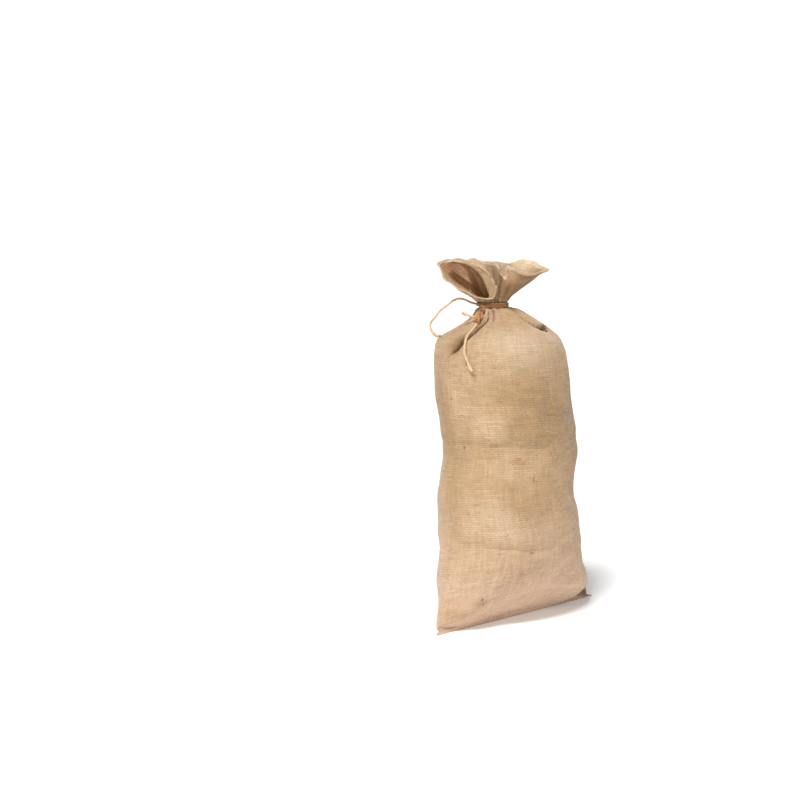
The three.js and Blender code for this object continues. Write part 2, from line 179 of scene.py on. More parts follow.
def body_ring(row):
    """One ring of the body: half its points are the back panel from +X to -X, half the front panel."""
    section = dict(zip(SECTION, row))
    angle = np.linspace(0, math.pi, 241)
    arc = np.stack([section["half_width"] * np.cos(angle),
                    section["half_depth"] * np.sin(angle) ** max(section["lens"], 1)], axis=1)
    half = COLUMNS // 2
    back = evenly(arc, np.linspace(0, along(arc)[-1], half, endpoint=False))
    flat = np.concatenate([back, -back])
    to_back = (flat[:, 1] / section["half_depth"] + 1) / 2
    height = section["front"] + (section["back"] - section["front"]) * to_back
    turn = math.radians(section["twist"])
    x = flat[:, 0] * math.cos(turn) - flat[:, 1] * math.sin(turn)
    y = flat[:, 0] * math.sin(turn) + flat[:, 1] * math.cos(turn)
    direction, below = np.degrees(np.arctan2(y, x)), NECK_FOOT - height
    drawn_in = np.zeros(COLUMNS)
    for towards, swing, depth, reach, spread in TUCKS:
        share = np.clip(below / reach, 0, 1)
        away = ((direction - towards - swing * share + 180) % 360 - 180) / spread
        drawn_in += depth * np.exp(-away ** 2) * np.sin(math.pi * np.sqrt(share)) ** 2 * (1.2 - share)
    kept = 1 - drawn_in / np.maximum(np.hypot(x, y), 2 * drawn_in + 1)
    x, y = section["x"] + x * kept, section["y"] + y * kept
    for bulge_x, bulge_height, half_length, half_height, out in BULGES:
        along_it, up_it = (x - bulge_x) / half_length, (height - bulge_height) / half_height
        swell = out * np.exp(-along_it ** 2 - up_it ** 2)
        y -= np.where(flat[:, 1] < 0, swell * np.clip(-flat[:, 1] / 12, 0, 1), 0)
    return np.stack([x, y, np.maximum(height, 0)], axis=1)


def body_rings():
    """Rings of the body from the seam to the top of the tie, about ROW apart."""
    rings = []
    last = len(SECTIONS) - 1
    for k in range(last):
        around = [SECTIONS[min(max(k + off, 0), last)] for off in (-1, 0, 1, 2)]
        tall = max(abs(around[2][:2] - around[1][:2]).max(), abs(around[2][4:6] - around[1][4:6]).max())
        steps = max(2, round(tall / ROW))
        rings += [body_ring(between(*around, step / steps)) for step in range(steps)]
    return np.array(rings + [body_ring(SECTIONS[last])])


def ripple(places, shortest, longest, count):
    """A smooth random swell of about 1 either way, with waves between two lengths."""
    swell = np.zeros(places.shape[:-1])
    for _ in range(count):
        wave = rng.normal(size=3)
        wave *= 2 * math.pi / rng.uniform(shortest, longest) / np.linalg.norm(wave)
        swell += np.sin(places @ wave + rng.uniform(0, 2 * math.pi))
    return swell / math.sqrt(count / 2)


def outward(grid):
    """The outward direction at each point of a grid of rings."""
    around = np.roll(grid, -1, axis=1) - np.roll(grid, 1, axis=1)
    up = np.gradient(grid, axis=0)
    normal = np.cross(around, up)
    return normal / np.maximum(np.linalg.norm(normal, axis=2, keepdims=True), 1e-9)


def from_line(across, up, line):
    """How far cloth places are from a line, positive on its left, the share passed, and its left side."""
    line = smooth_line(line, 4)
    far, best = along(line), np.full(across.shape, 1e9)
    side, share, leftward = np.zeros(across.shape), np.zeros(across.shape), np.zeros((*across.shape, 2))
    for k, (a, b) in enumerate(zip(line[:-1], line[1:])):
        step = b - a
        t = np.clip(((across - a[0]) * step[0] + (up - a[1]) * step[1]) / (step @ step), 0, 1)
        dx, dy = across - a[0] - t * step[0], up - a[1] - t * step[1]
        away = np.hypot(dx, dy)
        nearer = away < best
        best = np.where(nearer, away, best)
        side = np.where(nearer, np.sign(step[0] * dy - step[1] * dx), side)
        leftward[nearer] = np.array([-step[1], step[0]]) / np.hypot(*step)
        share = np.where(nearer, (far[k] + t * (far[k + 1] - far[k])) / far[-1], share)
    return best * side, share, leftward


# Creases pressed or pulled into the cloth, as lines on the flat cloth: across from the middle of the front
# panel, which ends at -180 and 180, and up from the seam. Then the depth, and how wide the trough is on the
# left and on the right of the line. A negative depth is a ridge. A last number, where there is one, is how
# far the cloth on the left of the line laps over the trough.
CREASES = [
    # folded flat for packing: two troughs right round, the cloth standing up beside them
    ([(-300, 331), (-226, 328), (-190, 326), (-152, 327), (-106, 325), (-52, 322), (-16, 319), (14, 323)],
     2.3, 4, 10),
    ([(-36, 320), (-16, 319), (4, 326), (10, 334), (8, 342)], 1.6, 4, 5),
    ([(30, 328), (80, 334), (130, 331), (190, 338), (250, 330)], 0.9, 6, 9),
    ([(-230, 180), (-198, 174), (-175, 171), (-152, 168), (-98, 157), (-62, 151), (-32, 148), (6, 143)],
     3.0, 6, 9),
    ([(-10, 146), (58, 134), (110, 131), (160, 134)], 1.2, 6, 10),
    ([(-215, 190), (-160, 186), (-110, 178), (-60, 170), (-10, 163)], -1.6, 10, 10),
    ([(-180, 152), (-130, 147), (-90, 138), (-50, 131)], 1.1, 4, 8),
    ([(-170, 160), (-140, 157), (-112, 151)], 0.9, 2.5, 4),
    # drawn down from the tie: the deep lapped tuck on the left, and the small one under the knot
    ([(-161, 470), (-149, 484), (-142, 503), (-138, 526), (-134, 544), (-130, 560)], 20, 5, 6, 8),
    ([(-118, 556), (-121, 530), (-126, 508), (-130, 488)], -2.2, 9, 8),
    ([(-170, 560), (-172, 536), (-176, 510), (-182, 488)], -3.0, 10, 10),
    ([(-84, 584), (-94, 568), (-100, 549), (-103, 536)], 6, 6, 6),
    ([(-46, 588), (-50, 566), (-57, 548)], 1.8, 8, 8),
    ([(-20, 586), (-18, 566), (-12, 546)], 1.4, 8, 8),
    ([(22, 584), (26, 562), (34, 540)], 2.0, 9, 9),
    # the pocket on the right shoulder
    ([(44, 547), (56, 539), (68, 531), (80, 525), (93, 519)], 24, 4, 10, 7),
    ([(60, 560), (84, 548), (110, 536)], -2, 9, 6),
    ([(54, 521), (50, 508), (44, 494)], 1.6, 6, 6),
    ([(30, 500), (22, 489), (20, 468), (14, 452)], 1.5, 7, 5),
    ([(2, 486), (-2, 470)], 1.0, 5, 5),
    # soft pulls across the panel
    ([(-176, 424), (-162, 418), (-126, 408), (-90, 399), (-38, 386), (-8, 374)], 1.7, 9, 15),
    ([(-150, 384), (-104, 372), (-58, 366), (-14, 364)], 1.0, 8, 12),
    ([(38, 480), (34, 468), (24, 420), (12, 370), (4, 334)], 1.6, 8, 22),
    ([(60, 450), (56, 400), (46, 352)], -1.0, 14, 14),
    ([(-44, 300), (-20, 262), (2, 214), (24, 178)], 0.9, 14, 18),
    ([(84, 290), (76, 240), (80, 190), (92, 150)], 1.0, 12, 16),
    ([(-196, 252), (-168, 238), (-140, 232)], 1.1, 6, 8),
    ([(-160, 96), (-120, 88), (-70, 92)], 0.7, 8, 10),
    # the folded side edges
    ([(-160, 462), (-166, 440), (-177, 400), (-184, 336), (-181, 290)], -1.6, 5, 5),
    ([(-181, 300), (-182, 240), (-180, 180), (-180, 90), (-180, 22)], -0.9, 5, 5),
    ([(180, 30), (180, 150), (178, 300), (180, 440)], -1.2, 5, 5),
    # the bottom corners: the front panel hangs over its flat seam corner on the right, the left one is an ear
    ([(52, 3), (66, 7), (92, 16), (116, 28), (136, 41), (152, 54), (166, 62)], 16, 2.5, 30, 7),
    ([(74, 28), (108, 44), (140, 64), (162, 86)], -2.6, 14, 10),
    ([(-178, 34), (-166, 22), (-150, 14), (-132, 8)], 4.0, 7, 5),
    ([(-176, 52), (-160, 44), (-146, 32)], 1.8, 5, 5),
    ([(-110, 18), (-60, 14), (-10, 17), (30, 13)], 1.4, 8, 6),
    # the back panel
    ([(210, 512), (236, 470), (250, 430)], 3.0, 9, 12),
    ([(300, 560), (312, 520), (330, 486)], 3.4, 10, 8),
    ([(400, 566), (396, 524), (410, 480)], 2.6, 8, 10),
    ([(250, 330), (320, 326), (400, 330), (480, 328), (535, 331)], 1.8, 5, 9),
    ([(160, 134), (230, 140), (320, 150), (410, 158), (520, 178)], 2.0, 6, 9),
    ([(230, 250), (300, 262), (380, 246)], 1.0, 12, 14),
    ([(470, 420), (440, 380), (450, 344)], 1.4, 9, 12),
]

body = body_rings()

# The cloth gathers unevenly at the neck: each column slides round to its stretch of the mouth under the tie.
rightward = np.array([math.cos(math.radians(MOUTH_TURN)), math.sin(math.radians(MOUTH_TURN)), 0])
forward = np.array([rightward[1], -rightward[0], 0])
at_neck = np.radians(MOUTH[:, 3])
leaving = NECK_RADIUS * np.cos(at_neck), -NECK_RADIUS * np.sin(at_neck)
knots = smooth_line(np.column_stack([MOUTH[:, :3], *leaving, MOUTH[:, 4:]]), 1, closed=True)
far = along(knots[:, :3])
columns = np.linspace(0, far[-1], COLUMNS, endpoint=False)
first_column = -round((SECTIONS[-1][7] - MOUTH_TURN) / 360 * COLUMNS)
knots = np.stack([np.interp(columns, far, values) for values in knots.T], axis=1)
knots = np.roll(knots, first_column, axis=0)
rim = NECK + knots[:, :1] * rightward + knots[:, 1:2] * forward + knots[:, 2:3] * np.array([0, 0, 1])
slide = NECK + (knots[:, 3:4] * rightward + knots[:, 4:5] * forward) * (
    NECK_RADIUS / np.hypot(knots[:, 3:4], knots[:, 4:5]))
belly = knots[:, 5:6] * rightward + knots[:, 6:7] * forward + knots[:, 7:8] * np.array([0, 0, 1])
rim_waves = knots[:, 8]
rim_place = np.roll(columns, first_column)

neck_foot = body[-1] - np.array([0, 0, NECK_TOP - NECK_FOOT])
while body[-1][0, 2] > NECK_FOOT - 0.1:
    body = body[:-1]
NECK_ROWS = 5
neck = []
for share in np.linspace(0, 1, NECK_ROWS + 1):
    ring = neck_foot * (1 - share) + slide * share - NECK
    ring[:, :2] *= NECK_RADIUS / np.hypot(ring[:, :1], ring[:, 1:2])
    neck.append(NECK + ring * [1, 1, 0] - [0, 0, (NECK_TOP - NECK_FOOT) * (1 - share)])
body = np.concatenate([body, neck])

RUFFLE_ROWS = 40
levels = np.linspace(0, 1, RUFFLE_ROWS + 1)[1:]
root = body[-1]
middle = (root + rim) / 2 + belly + np.array([0, 0, 0.06]) * np.linalg.norm(rim - root, axis=1)[:, None]
ruffle = np.array([(1 - t) ** 2 * root + 2 * t * (1 - t) * middle + t ** 2 * rim for t in levels])

cloth = np.concatenate([body, ruffle])
rows = len(cloth)
cloth_up = np.concatenate([[0], np.cumsum(np.linalg.norm(np.diff(cloth, axis=0), axis=2).mean(axis=1))])
# Where each column lies across the flat cloth, from the middle of the front panel.
cloth_across = (np.arange(COLUMNS) / COLUMNS * 2 * FLAT_WIDTH + FLAT_WIDTH / 2) % (2 * FLAT_WIDTH)
cloth_across = np.where(cloth_across >= FLAT_WIDTH * 1.5, cloth_across - 2 * FLAT_WIDTH, cloth_across)
across, up = np.meshgrid(cloth_across, cloth_up)

# How far up the ruffle each ring is: 0 up to the top of the tie, 1 at the edge of the mouth.
level = np.clip((np.arange(rows) - len(body) + 1) / RUFFLE_ROWS, 0, 1)[:, None]

# Soft relief: the filling's lumps, finer dents, and the pleats that the tie gathers.
below = np.clip(NECK_FOOT - cloth[..., 2], 0, None)
filled = np.clip(below / 60, 0, 1) * np.clip(cloth[..., 2] / 25, 0, 1)
relief = filled * (1.1 * ripple(cloth, 70, 150, 14) + 0.4 * ripple(cloth, 26, 50, 18))
direction = np.degrees(np.arctan2(cloth[len(body) - 1, :, 1] - NECK[1], cloth[len(body) - 1, :, 0] - NECK[0]))
PLEATS = 34
for k in range(PLEATS):
    towards = (k + rng.uniform(-0.3, 0.3)) * 360 / PLEATS
    wide, deep, reach = rng.uniform(2.4, 4.2), rng.uniform(1.1, 2.6), rng.uniform(14, 60)
    away = ((direction - towards + 180) % 360 - 180) / wide
    fading = np.clip(1 - below / reach, 0, 1) ** 1.5 * np.where(level > 0, (1 - level) ** 2 * 1.2, 1)
    relief -= deep * np.exp(-away ** 2)[None, :] * fading
lapped = np.zeros(cloth.shape)
sideways = np.roll(cloth, -1, axis=1) - np.roll(cloth, 1, axis=1)
upwards = np.gradient(cloth, axis=0)
sideways /= np.linalg.norm(sideways, axis=2, keepdims=True)
upwards /= np.linalg.norm(upwards, axis=2, keepdims=True)
for line, depth, left, right, *lap in CREASES:
    signed, share, leftward = from_line(across, up, line)
    off = np.abs(signed) / np.where(signed > 0, left, right)
    # a crease fades at both ends, and where the cloth comes down to the floor
    taper = np.sin(math.pi * np.clip(share, 0.02, 0.98)) ** 0.6 * np.clip(cloth[..., 2] / 8, 0, 1)
    relief -= depth * taper * np.exp(-off * (1 + off / 3))
    if lap:
        pull = (lap[0] * taper * np.clip(signed / 4 + 0.5, 0, 1) * np.exp(-(signed / 14) ** 2))[..., None]
        lapped -= pull * (leftward[..., :1] * sideways + leftward[..., 1:] * upwards)
        brow = depth * taper * np.clip(signed / 3, 0, 1) * np.exp(-off * (1 + off / 3))
        relief += pull[..., 0] * 0.7 + brow

# The cloth swells over the twine just above and below it.
RUFFLE_TALL = 74  # about how long the cloth of the ruffle is
relief += 1.8 * np.exp(-((level * RUFFLE_TALL - 4) / 3.5) ** 2) * (level > 0)
relief += 2.2 * np.exp(-((below - 5) / 4) ** 2) * (level == 0)

# The edge of the mouth waves most where the cloth is bunched.
edge_waves = np.sin(np.cumsum(rng.uniform(0.7, 1.3, COLUMNS)) * 2 * math.pi / 19 + 1)
relief += level ** 1.4 * (rim_waves * edge_waves)[None, :] * 0.9
relief += level * 0.9 * ripple(cloth, 18, 40, 16)
for place_round, depth, half_width in RUFFLE_FOLDS:
    away = (rim_place - place_round) / half_width
    relief -= np.sqrt(level) * (1.15 - level) * 1.3 * depth * np.exp(-away ** 2)[None, :]
relief[0] = 0
cloth = cloth + outward(cloth) * relief[..., None] + lapped
cloth[..., 2] = np.maximum(cloth[..., 2], 0)
cloth[0, :, 2] = 0

inner = (cloth - outward(cloth) * CLOTH)[len(body):][::-1]
edge_step = cloth[-1] - cloth[-2]
lip = (cloth[-1] + inner[0]) / 2 + edge_step / np.linalg.norm(edge_step, axis=1)[:, None] * 0.7
rings = np.concatenate([cloth, lip[None], inner])
ring_up = np.concatenate([cloth_up, [cloth_up[-1] + 1], cloth_up[len(body):][::-1]])


def make_mesh(name, points, faces, uvs=None):
    """A mesh from points in millimetres, its faces and, for each face corner, a place on the flat cloth."""
    mesh = bpy.data.meshes.new(name)
    mesh.from_pydata(((np.asarray(points) - MIDDLE) * MM).tolist(), [], faces)
    if uvs is not None:
        layer = mesh.uv_layers.new(name="cloth")
        layer.data.foreach_set("uv", (np.asarray(uvs, float) * MM).ravel())
    mesh.shade_smooth()
    piece = bpy.data.objects.new(name, mesh)
    bpy.context.scene.collection.objects.link(piece)
    return piece


def sack_mesh():
    """The rings up to the edge and down inside the mouth, closed by the seam and a plug in the neck."""
    faces, uvs = [], []
    around = np.arange(COLUMNS + 1) / COLUMNS * 2 * FLAT_WIDTH
    for r in range(len(rings) - 1):
        for k in range(COLUMNS):
            a, b = r * COLUMNS + k, r * COLUMNS + (k + 1) % COLUMNS
            faces.append((a, b, b + COLUMNS, a + COLUMNS))
            low, high = ring_up[r], ring_up[r + 1]
            uvs += [(around[k], low), (around[k + 1], low), (around[k + 1], high), (around[k], high)]
    for k in range(COLUMNS // 2):  # the seam: back and front panel meet
        a, b, c, d = k, k + 1, (COLUMNS - k) % COLUMNS, COLUMNS - k - 1
        seam = [a, c, d, b] if a != c and b != d else [a, c, b] if a != c else [a, d, b]
        faces.append(tuple(seam))
        uvs += [(around[p], 0) for p in seam]
    top, throat = (len(rings) - 1) * COLUMNS, len(rings) * COLUMNS
    for k in range(COLUMNS):
        faces.append((top + k, top + (k + 1) % COLUMNS, throat))
        uvs += [(around[k], ring_up[-1]), (around[k + 1], ring_up[-1]), (around[k], ring_up[-1] - 8)]
    points = np.concatenate([rings.reshape(-1, 3), [NECK + np.array([0, 0, 3])]])
    return make_mesh("sack_cloth", points, faces, uvs)


sack = sack_mesh()


def srgb(code):
    """The linear colour of a #rrggbb code."""
    parts = [int(code[k:k + 2], 16) / 255 for k in (1, 3, 5)]
    return [c / 12.92 if c <= 0.04045 else ((c + 0.055) / 1.055) ** 2.4 for c in parts] + [1]


def add(tree, kind, settings=None, links=None):
    """Adds a node, sets its properties, and fills its inputs with values or with (node, output) pairs."""
    node = tree.nodes.new(kind)
    for name, value in (settings or {}).items():
        setattr(node, name, value)
    for name, value in (links or {}).items():
        if isinstance(value, tuple) and isinstance(value[0], bpy.types.Node):
            tree.links.new(value[0].outputs[value[1]], node.inputs[name])
        else:
            node.inputs[name].default_value = value
    return node


THREAD = 3.7  # spacing of the threads; real hessian has 2.3, drawn coarser so that it shows
STRAW, SAND, ROSY = "#b4926a", "#c8a885", "#d2b399"  # undyed jute, from the greener to the pinker

CUT_EDGE = float(cloth_up[-1])  # how far up the cloth its frayed, paler cut edge is
MOUTH_UP = float(cloth_up[len(body) - 1])  # and the top of the tie

# Marks on the cloth: across from the front panel's middle, up from the seam, half width, half height, colour
# and strength. A later mark lies over an earlier one.
MARKS = [
    # broad patches browner, greener or paler than the rest, partly jute tone, partly painted light and shade
    (24, 372, 110, 62, "#8f6e44", 0.68), (110, 340, 60, 70, "#8f6b48", 0.4),
    (-60, 410, 80, 34, "#a5824f", 0.42), (90, 300, 60, 150, "#9a7650", 0.3),
    (-178, 270, 26, 120, "#a17f4e", 0.5), (-196, 400, 36, 90, "#987040", 0.6),
    (60, 240, 70, 50, "#a07c54", 0.3), (-40, 225, 90, 30, "#a78358", 0.28),
    (-120, 120, 60, 14, "#a8845c", 0.3), (-30, 60, 100, 40, "#cba78c", 0.3),
    (-106, 356, 32, 24, "#d9bd9d", 0.22), (-98, 350, 22, 14, "#dcc4a8", 0.25),
    (-112, 214, 44, 32, "#d8bb9b", 0.45), (-92, 204, 28, 34, "#d8bc9e", 0.3),
    (-92, 185, 34, 12, "#d8bc9f", 0.4), (-40, 490, 110, 50, "#e0c7ab", 0.5),
    (60, 520, 60, 34, "#e2caaf", 0.4), (-120, 36, 60, 30, "#c19a75", 0.4), (40, 74, 60, 44, "#b9937a", 0.4),
    (-52, 350, 40, 30, "#98794f", 0.4), (-64, 113, 40, 30, "#b08a68", 0.35),
    (-34, 43, 40, 22, "#b08a6c", 0.35), (-164, 62, 24, 26, "#b48a60", 0.45),
    # stains
    (-66, 299, 15, 7, "#b26f38", 0.55), (-52, 296, 9, 6, "#b87a45", 0.45), (-60, 303, 6, 4, "#a9662f", 0.4),
    (-116, 62, 20, 12, "#b08a50", 0.4),
    # the mouth: painted brown shade in its folds, darkest low in the left one, painted light inside both
    # folds
    (60, MOUTH_UP + 26, 110, 34, "#8a643e", 0.6), (-20, MOUTH_UP + 50, 60, 40, "#96724a", 0.5),
    (240, MOUTH_UP + 22, 30, 44, "#48240c", 0.9), (328, MOUTH_UP + 54, 34, 38, "#9a5d2d", 0.75),
    (324, MOUTH_UP + 16, 30, 26, "#e3b282", 0.85), (262, MOUTH_UP + 60, 30, 30, "#7d5635", 0.6),
    (186, MOUTH_UP + 66, 50, 30, "#ead6ba", 0.75),
    # shade laid into the pocket and the tucks, deeper than their shape alone gives
    (74, 527, 18, 9, "#56351a", 0.85), (-148, 492, 15, 24, "#6a4526", 0.8),
    (-143, 520, 11, 24, "#6a4526", 0.75), (-156, 483, 18, 20, "#8a6240", 0.45),
    (-90, 569, 9, 12, "#6a4526", 0.75),
    # the mouth again: painted highlights on the turned edge and a ridge in the left fold, painted shade
    # outside
    (36, MOUTH_UP + 55, 20, 18, "#e0bd93", 0.75), (84, MOUTH_UP + 62, 44, 14, "#6b4726", 0.8),
    (-124, MOUTH_UP + 52, 34, 15, "#ecd4b2", 0.6), (-86, MOUTH_UP + 49, 20, 18, "#ecd4b2", 0.5),
    (-10, MOUTH_UP + 51, 16, 14, "#e0bd93", 0.5), (158, MOUTH_UP + 65, 34, 18, "#ecd6b4", 0.85),
    (300, MOUTH_UP + 26, 13, 50, "#d6ab7d", 0.8), (92, MOUTH_UP + 36, 50, 44, "#7a5230", 0.75),
    # shade under the knot, along the tie and at the flap of the right seam corner
    (-95, 556, 7, 16, "#805a38", 0.6), (-20, MOUTH_UP - 3, 150, 9, "#7d5736", 0.6),
    (168, 28, 34, 24, "#7a4a22", 0.97), (122, 20, 36, 9, "#472913", 0.9), (146, 44, 14, 10, "#472913", 0.85),
    # specks of bark, and slubs
    (-154, 322, 2.6, 3, "#5c3c22", 0.9), (-116, 68, 3.2, 3, "#4f331d", 0.95),
    (-113, 58, 2.2, 7, "#6b4a2c", 0.6), (46, 175, 3, 3.4, "#6b4526", 0.8), (-36, 16, 3, 3, "#75502e", 0.7),
    (-60, 111, 3, 2.4, "#7c5632", 0.6), (-46, 143, 5.5, 2.2, "#7d4f29", 0.8),
    (-32, 268, 1.7, 9, "#75553a", 0.85), (-24, 265, 10, 1.7, "#7c5b3c", 0.6),
    (-128, 232, 7, 1.6, "#8c6a44", 0.6), (30, 412, 2, 7, "#8a6741", 0.5), (-76, 92, 6, 1.8, "#8e6a45", 0.5),
    (72, 118, 2.6, 2.2, "#6f4a2a", 0.6),
    # the back panel
    (250, 210, 40, 30, "#b07c48", 0.35), (330, 420, 3, 3, "#5c3c22", 0.8), (410, 140, 4, 3, "#6b4526", 0.8),
    (300, 90, 50, 24, "#a5824f", 0.4),
]


def woven_jute():
    """Undyed plain woven jute: round hairy threads over and under each other, small gaps between them."""
    material = bpy.data.materials.new("woven_jute_hessian")
    material.use_nodes = True
    tree = material.node_tree
    surface = tree.nodes["Principled BSDF"]
    surface.inputs["Roughness"].default_value = 0.92
    surface.inputs["Specular IOR Level"].default_value = 0.15
    surface.inputs["Sheen Weight"].default_value = 0.2
    surface.inputs["Sheen Roughness"].default_value = 0.6

    def math_node(operation, a, b=0.0, c=0.0):
        return (add(tree, "ShaderNodeMath", {"operation": operation}, {0: a, 1: b, 2: c}), 0)

    def noise(vector, scale, detail, rough=0.5):
        return (add(tree, "ShaderNodeTexNoise", {}, {"Vector": vector, "Scale": scale, "Detail": detail,
                                                     "Roughness": rough}), 0)

    def blend(share, under, over):
        return (add(tree, "ShaderNodeMix", {"data_type": "RGBA"}, {0: share, 6: under, 7: over}), 2)

    # The threads wander a few millimetres, over about 70 mm.
    place = (add(tree, "ShaderNodeUVMap", {"uv_map": "cloth"}), 0)
    wander = add(tree, "ShaderNodeTexNoise", {}, {"Vector": place, "Scale": 14.0, "Detail": 3.0})
    bent = add(tree, "ShaderNodeVectorMath", {"operation": "MULTIPLY_ADD"},
               {0: (wander, "Color"), 1: (0.006, 0.006, 0), 2: place})
    split = add(tree, "ShaderNodeSeparateXYZ", {}, {0: (bent, 0)})

    # Each thread has its own tone, lighter and darker in stretches of about 40 mm. Neighbours lie 3.7 apart
    # in the noise, so that they don't match.
    tones = []
    for across_it, along_it in ((1, 0), (0, 1)):  # weft, then warp
        number = math_node("FLOOR", math_node("DIVIDE", (split, across_it), THREAD * MM))
        way = math_node("MULTIPLY", (split, along_it), 26.0)
        spot = add(tree, "ShaderNodeCombineXYZ", {},
                   {0: way, 1: math_node("MULTIPLY", number, 3.7), 2: 5.0 * along_it})
        tones.append(noise((spot, 0), 1.0, 3.0, 0.65))
    weft_tone, warp_tone = tones

    # Over and under: each thread rises where it crosses on top. The weft stands higher than the warp.
    half_waves = math.pi / (THREAD * MM)
    warp, weft = (math_node("MULTIPLY", (split, k), half_waves) for k in (0, 1))
    sin_warp, sin_weft = math_node("SINE", warp), math_node("SINE", weft)
    crossing = math_node("MULTIPLY", sin_warp, sin_weft)
    warp_height = math_node("MULTIPLY_ADD", math_node("ABSOLUTE", sin_warp), 0.62,
                            math_node("MULTIPLY", crossing, -0.34))
    weft_height = math_node("MULTIPLY_ADD", math_node("ABSOLUTE", sin_weft), 0.9,
                            math_node("MULTIPLY", crossing, 0.34))
    height = math_node("MAXIMUM", warp_height, weft_height)
    weft_on_top = math_node("GREATER_THAN", weft_height, warp_height)
    thread_tone = (add(tree, "ShaderNodeMix", {"data_type": "FLOAT"},
                       {0: math_node("MULTIPLY_ADD", weft_on_top, 0.6, 0.2), 2: warp_tone, 3: weft_tone}), 0)

    # Colour: patches of straw and sand, about 130 by 90 mm, rosier towards the seam, then the marks, whose
    # edges are ragged to about 17 mm.
    drawn = add(tree, "ShaderNodeVectorMath", {"operation": "MULTIPLY"}, {0: place, 1: (0.7, 1, 1)})
    patches = noise((drawn, 0), 11.0, 5.0, 0.62)
    low = (add(tree, "ShaderNodeMapRange", {}, {0: (split, 1), 1: 0.06, 2: 0.26, 3: 1.0, 4: 0.0}), 0)
    colour = blend(math_node("MULTIPLY_ADD", patches, 3.0, -1.0), srgb(STRAW), srgb(SAND))
    colour = blend(math_node("MULTIPLY", low, 0.75), colour, srgb(ROSY))
    ragged = noise(place, 60.0, 4.0, 0.7)
    for across, up, wide, tall, code, strength in MARKS:
        around = (across + 1.5 * FLAT_WIDTH) % (2 * FLAT_WIDTH)
        off = add(tree, "ShaderNodeVectorMath", {"operation": "MULTIPLY_ADD"},
                  {0: place, 1: (1 / (wide * MM), 1 / (tall * MM), 0), 2: (-around / wide, -up / tall, 0)})
        away = (add(tree, "ShaderNodeVectorMath", {"operation": "LENGTH"}, {0: (off, 0)}), 1)
        edge = math_node("MULTIPLY_ADD", ragged, 0.9, away)
        share = (add(tree, "ShaderNodeMapRange", {"interpolation_type": "SMOOTHSTEP"},
                     {0: edge, 1: 0.3, 2: 1.75, 3: strength, 4: 0.0}), 0)
        colour = blend(share, colour, srgb(code))

    # The last 2 mm, where the cut edge is frayed, are paler.
    cut = (add(tree, "ShaderNodeMapRange", {},
               {0: (split, 1), 1: (CUT_EDGE - 2.4) * MM, 2: (CUT_EDGE - 0.4) * MM}), 0)
    colour = blend(math_node("MULTIPLY", cut, 0.6), colour, srgb("#ecd3b4"))

    # Flecks of bark in the yarn, a few millimetres long, and the light and dark of its fibres, drawn 1.3 mm
    # thick so that they show.
    grain = add(tree, "ShaderNodeVectorMath", {"operation": "MULTIPLY"}, {0: place, 1: (0.5, 1.2, 1)})
    bark = (add(tree, "ShaderNodeMapRange", {},
                {0: noise((grain, 0), 210.0, 2.0), 1: 0.67, 2: 0.76, 3: 0.0, 4: 0.7}), 0)
    colour = blend(bark, colour, srgb("#7a5a3a"))
    fibre = noise(place, 800.0, 2.0)
    shade = math_node("ADD", math_node("MULTIPLY_ADD", thread_tone, 1.1, -0.545),
                      math_node("MULTIPLY_ADD", fibre, 0.4, -0.2))
    # Darker where the threads dip between their crossings: painted shade in the hollows of the weave.
    gaps = math_node("MULTIPLY_ADD", height, 0.2, 0.862)
    bright = math_node("MINIMUM", math_node("ADD", gaps, shade), 1.35)
    shaded = add(tree, "ShaderNodeVectorMath", {"operation": "SCALE"}, {0: colour, "Scale": bright})
    tree.links.new(shaded.outputs[0], surface.inputs["Base Color"])
    lumps = math_node("ADD", height, math_node("MULTIPLY", thread_tone, 0.9))
    bump = add(tree, "ShaderNodeBump", {}, {"Strength": 0.5, "Distance": 0.0009, "Height": lumps})
    tree.links.new(bump.outputs[0], surface.inputs["Normal"])
    return material


hessian = woven_jute()
sack.data.materials.append(hessian)
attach(sack, "root")
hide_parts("sack")

# ---------------------------------------------------------------------------------------------------------
# The turns of the tie: three-ply jute twine, wound twice round the waist above the filling, each end of the
# winding drawn down to the knot on the left shoulder.
# ---------------------------------------------------------------------------------------------------------
TWINE = 3.4
GAP = 0.35  # between pieces that touch
TURN_RADIUS = NECK_RADIUS + GAP + TWINE / 2 + 0.3
TURN_PITCH = TWINE + GAP
LOWER_TURN = 499
# The winding's two ends: angle in degrees round the neck's axis, reach from it, height.
STRAND_IN = [(-164.5, 45, 490.6), (-164, 36.5, 494.6), (-161, 29.5, 497.8)]
STRAND_OUT = [(520, 25.6, 502.7), (536, 28.6, 502.3), (550, 30.8, 501.2), (560, 34.5, 498.8),
              (564.5, 39.2, 495.4), (565, 44.6, 491.8)]
PLY_TURN = 11  # length of one turn of the plies


